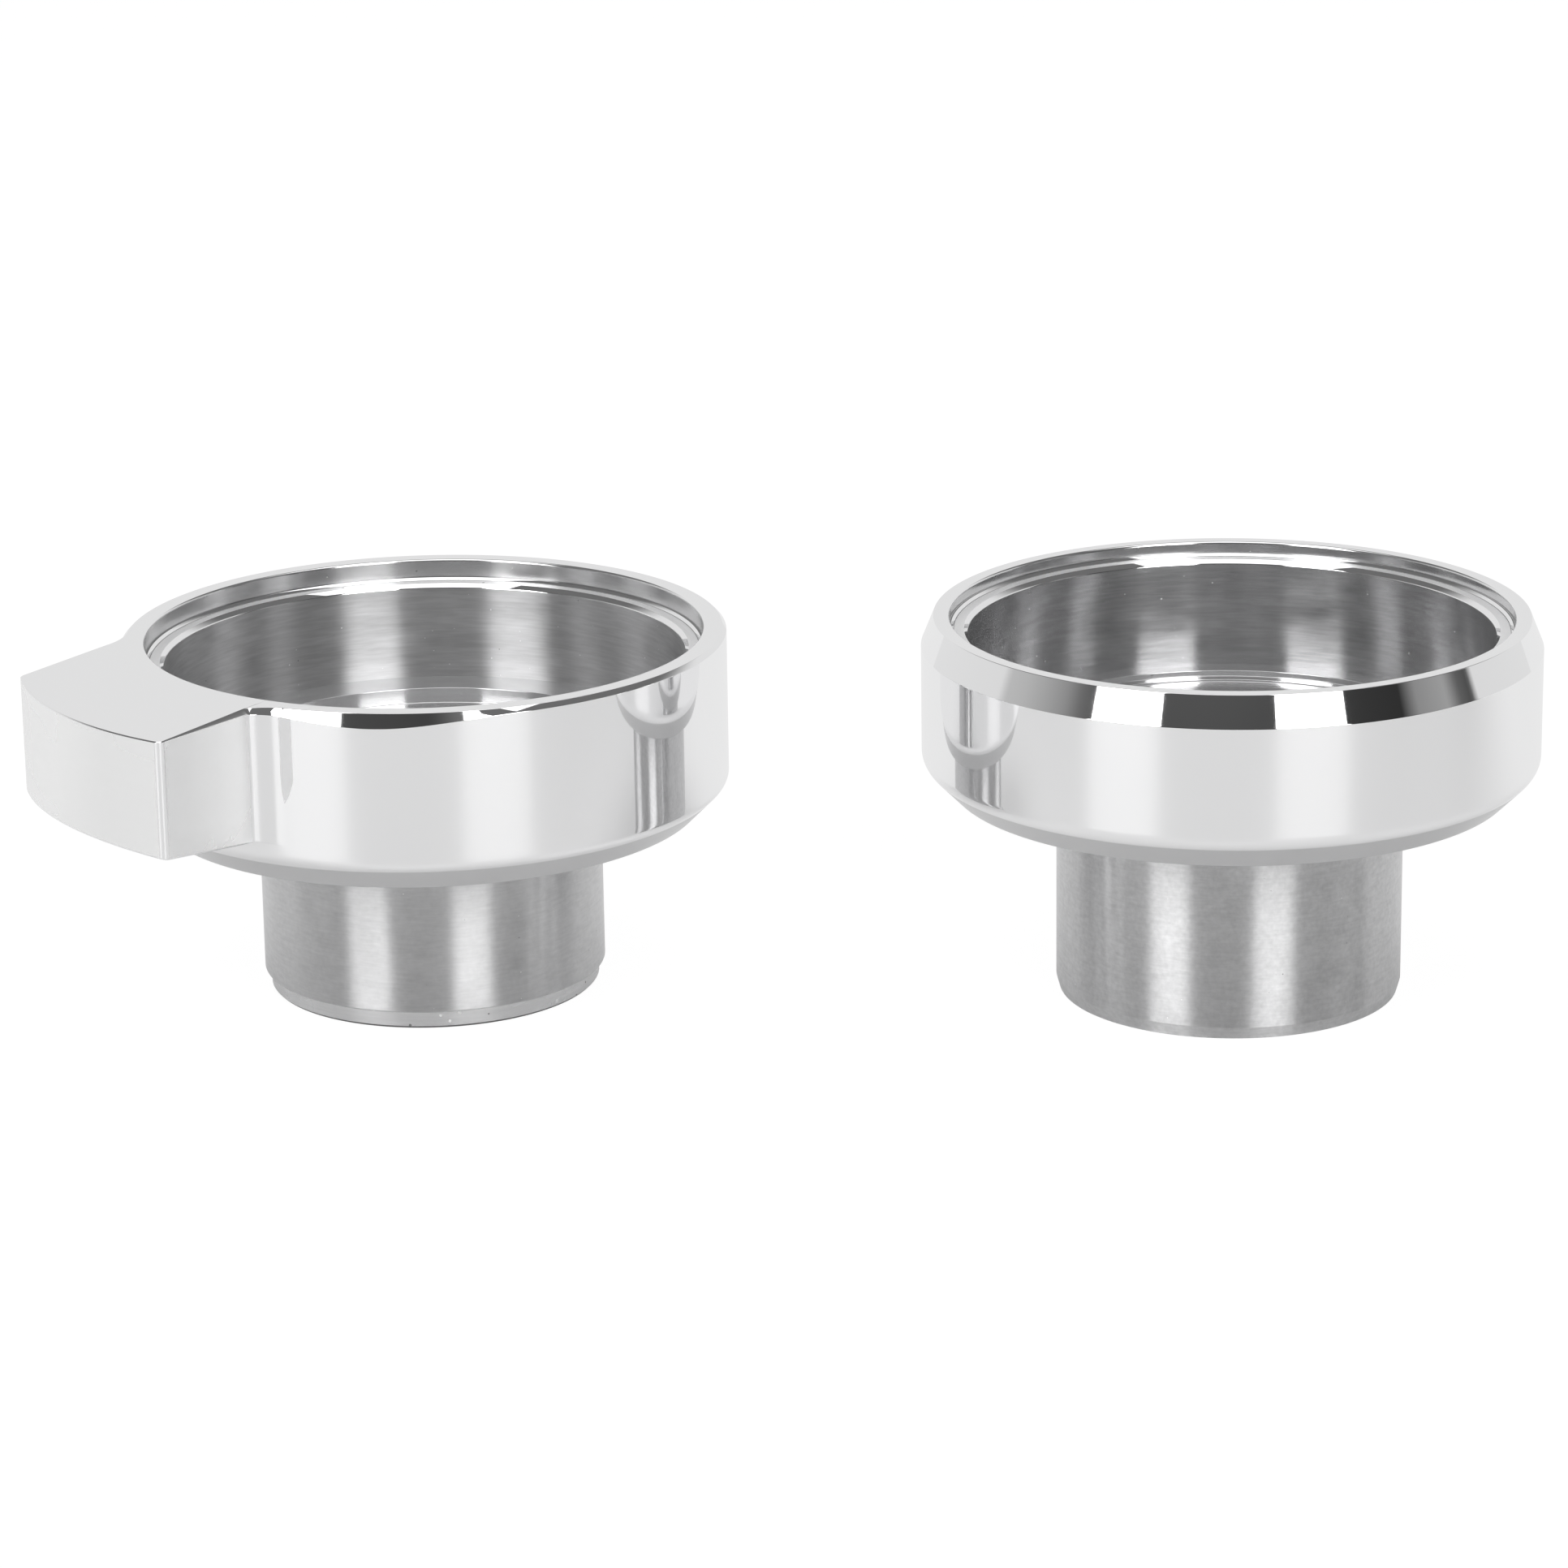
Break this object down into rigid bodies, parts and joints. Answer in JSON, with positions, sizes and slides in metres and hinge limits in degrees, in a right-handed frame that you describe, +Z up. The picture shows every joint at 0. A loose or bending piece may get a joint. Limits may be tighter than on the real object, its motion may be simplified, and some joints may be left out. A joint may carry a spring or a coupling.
{
  "type": "portafilter cup holder pair",
  "caption": "Matched empty steel portafilter cup holders: polished collars with a stepped basket seat on brushed round necks; a thumb tab stands out of the lower collar.",
  "frame": {"origin": "centre of the pair's bounding box, on the surface that the necks stand on", "axes": "+Z up along both necks; +X runs from the tabbed holder to the plain holder; +Y away from the thumb tab, towards the back"},
  "size_m": [0.1752, 0.0802, 0.0453],
  "materials": {
    "polished_collar": "mirror polished",
    "machined_seat": "fine turned, bright",
    "brushed_cup": "circumferentially brushed, with small casting pits",
    "turned_floor": "fine turned, semi-bright",
    "brushed_neck": "circumferentially brushed satin"
  },
  "bodies": {
    "plain_holder": {"plain_collar": "polished_collar", "plain_seat_ring": "machined_seat", "plain_bore_liner": "brushed_cup", "plain_floor_ring": "turned_floor", "plain_neck_sleeve": "brushed_neck"},
    "tabbed_holder": {"tabbed_collar": "polished_collar", "tabbed_seat_ring": "machined_seat", "tabbed_bore_liner": "brushed_cup", "tabbed_floor_ring": "turned_floor", "tabbed_neck_sleeve": "brushed_neck", "tabbed_neck_lip": "machined_seat"}
  },
  "joints": [
    {"name": "tabbed_holder_lift", "type": "slide", "parent": "plain_holder", "child": "tabbed_holder", "axis": [0, 0, 1], "range_m": [0, 0.08]}
  ]
}
